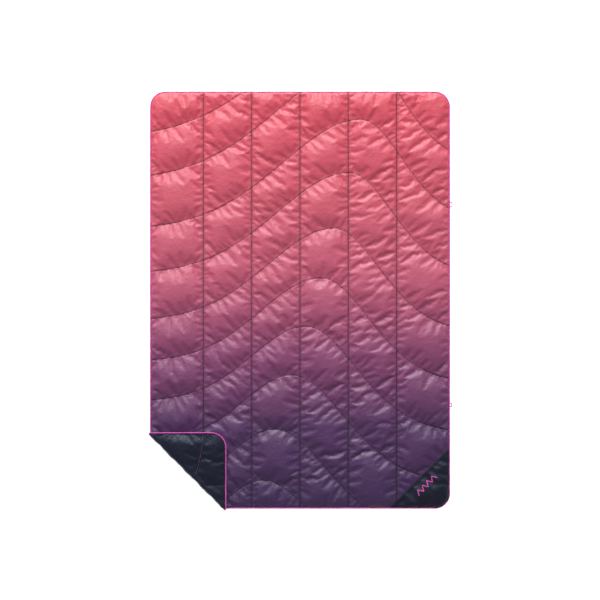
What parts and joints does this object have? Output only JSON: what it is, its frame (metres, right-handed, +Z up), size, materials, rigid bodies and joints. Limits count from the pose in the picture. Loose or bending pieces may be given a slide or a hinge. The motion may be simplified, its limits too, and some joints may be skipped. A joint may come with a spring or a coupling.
{
  "type": "quilted camp blanket",
  "caption": "Quilted insulated camp blanket lying flat, with wave and column seams, bound edges, corner patch, side loops and one corner turned over.",
  "frame": {"origin": "centre of the underside, on the surface that the blanket lies on", "axes": "+X across the width towards the edge with the loops, +Y along the length towards the coral end, +Z up"},
  "size_m": [1.2798, 1.765, 0.0391],
  "materials": {
    "front_cloth": "satin ripstop polyester, coral fading to deep violet along the length",
    "back_cloth": "satin ripstop polyester, near-black navy",
    "patch_cloth": "satin woven polyester, near-black navy",
    "fibre_fill": "matt loose polyester fibre batting",
    "binding_tape": "ribbed woven tape, bright magenta",
    "seam_thread": "polyester sewing thread, close to the cloth's colour",
    "bright_thread": "polyester embroidery thread, bright magenta"
  },
  "bodies": {
    "blanket": {"back_shell": "back_cloth", "insulation": "fibre_fill", "front_shell": "front_cloth", "edge_binding": "binding_tape", "column_seam_1": "seam_thread", "column_seam_2": "seam_thread", "column_seam_3": "seam_thread", "column_seam_4": "seam_thread", "column_seam_5": "seam_thread", "wave_seam_1": "seam_thread", "wave_seam_2": "seam_thread", "wave_seam_2_right": "seam_thread", "wave_seam_3": "seam_thread", "wave_seam_4": "seam_thread", "wave_seam_5": "seam_thread", "wave_seam_6": "seam_thread", "wave_seam_7": "seam_thread", "wave_seam_8": "seam_thread", "wave_seam_9": "seam_thread", "wave_seam_10": "seam_thread", "corner_patch": "patch_cloth", "patch_stitching": "seam_thread", "patch_motif": "bright_thread", "side_loop_upper": "binding_tape", "side_loop_lower": "binding_tape"},
    "turned_corner": {"flap_back_shell": "back_cloth", "flap_insulation": "fibre_fill", "flap_front_shell": "front_cloth", "flap_edge_binding": "binding_tape", "flap_column_seam_1": "seam_thread", "flap_wave_seam": "bright_thread"}
  },
  "joints": [
    {"name": "corner_fold", "type": "hinge", "parent": "blanket", "child": "turned_corner", "pos_m": [-0.59625, -0.59625, 0.01955], "axis": [0.7071, -0.7071, 0], "range_deg": [0, 179.5]}
  ]
}
